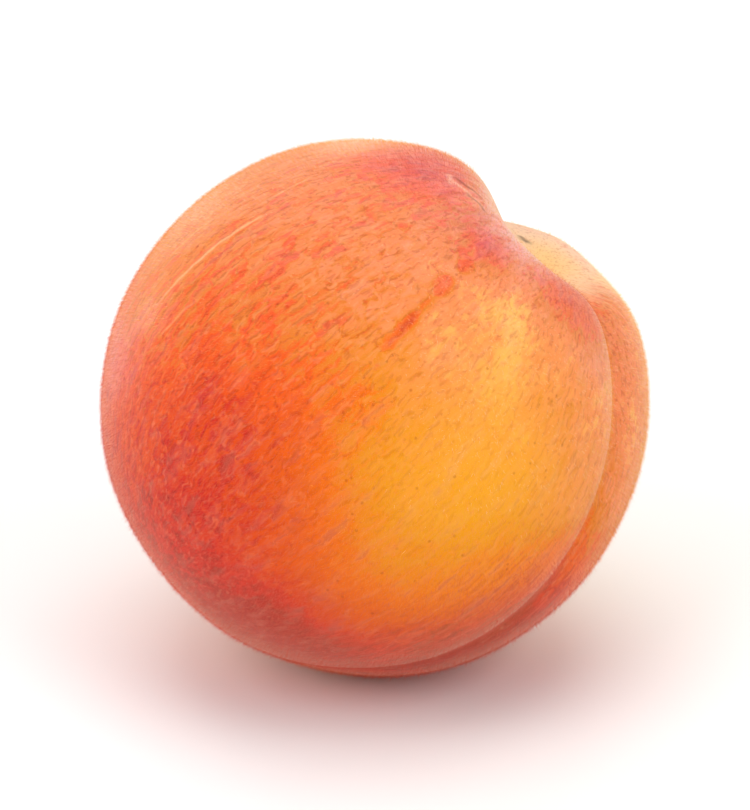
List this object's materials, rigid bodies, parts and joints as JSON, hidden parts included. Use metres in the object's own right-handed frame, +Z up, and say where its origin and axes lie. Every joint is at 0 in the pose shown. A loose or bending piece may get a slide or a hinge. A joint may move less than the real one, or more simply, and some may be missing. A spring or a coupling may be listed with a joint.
{
  "type": "peach",
  "caption": "Whole round peach with a stem hollow, a shallow suture down its side and a blushed, downy skin; lies on a small flat spot.",
  "frame": {"origin": "centre of the flat spot that the fruit rests on, on the surface it lies on", "axes": "+Z up; the fruit's stem end leans over towards +X; -Y is the front, with the suture going down the fruit's right-hand side seen from there"},
  "size_m": [0.0727, 0.0721, 0.0718],
  "materials": {
    "skin": "matte"
  },
  "bodies": {
    "root": {"peach": "skin"}
  },
  "joints": []
}
